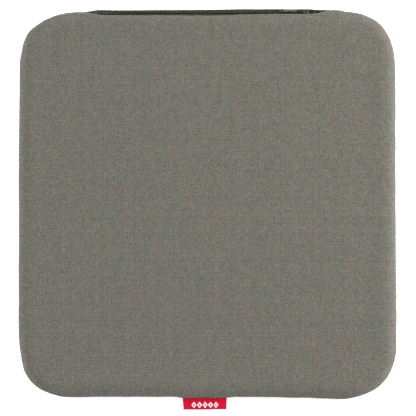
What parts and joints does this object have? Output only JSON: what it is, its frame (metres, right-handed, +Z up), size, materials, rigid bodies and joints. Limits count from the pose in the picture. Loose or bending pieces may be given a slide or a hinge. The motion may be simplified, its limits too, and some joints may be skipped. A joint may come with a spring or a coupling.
{
  "type": "padded heat mat",
  "caption": "Square padded mat with rounded corners: a zipped woven fabric cover over a bound, layered foam core, with a folded label in the front seam.",
  "frame": {"origin": "middle of the flat underside, on the surface that the mat lies on", "axes": "+X along the zip, towards its closed end; +Y from the label's edge to the zip's edge; +Z up"},
  "size_m": [0.356, 0.3783, 0.016],
  "materials": {
    "cover_fabric": "matt plain weave, heather grey",
    "thread": "satin spun thread",
    "zip_tape": "matt herringbone tape",
    "zip_coil": "satin nylon",
    "zip_metal": "satin gunmetal enamel",
    "label_red": "woven damask",
    "satin_white": "satin weave",
    "liner": "matt plain weave, undyed",
    "foil": "crinkled foil",
    "felt": "needled felt",
    "sponge": "open-cell silicone sponge"
  },
  "bodies": {
    "pad": {"cover_top_panel": "cover_fabric", "cover_bottom_panel": "cover_fabric", "seam_needle_thread": "thread", "seam_bobbin_thread": "thread", "seam_overlock_thread": "thread", "zip_tape_upper": "zip_tape", "zip_tape_lower": "zip_tape", "zip_coil_upper": "zip_coil", "zip_coil_lower": "zip_coil", "zip_top_stops": "zip_metal", "zip_bottom_stop": "zip_metal", "zip_topstitch_upper": "thread", "zip_topstitch_lower": "thread", "zip_bar_tacks": "thread", "side_label": "label_red", "care_label": "satin_white", "core_liner_top": "liner", "core_foil_sheet": "foil", "core_felt_top": "felt", "core_sponge": "sponge", "core_felt_bottom": "felt", "core_liner_bottom": "liner", "core_edge_binding": "liner", "core_binding_stitches": "satin_white"},
    "zip_slider": {"zip_slider_body": "zip_metal"},
    "zip_pull": {"zip_pull_tab": "zip_metal"}
  },
  "joints": [
    {"name": "slider_travel", "type": "slide", "parent": "pad", "child": "zip_slider", "axis": [-1, 0, 0], "range_m": [0, 0.187], "deforming": ["zip_tape_upper", "zip_tape_lower", "zip_coil_upper", "zip_coil_lower"]},
    {"name": "pull_hinge", "type": "hinge", "parent": "zip_slider", "child": "zip_pull", "pos_m": [0.0897, 0.18323, 0.00943], "axis": [0, 0.4226, -0.9063], "range_deg": [0, 180]}
  ]
}
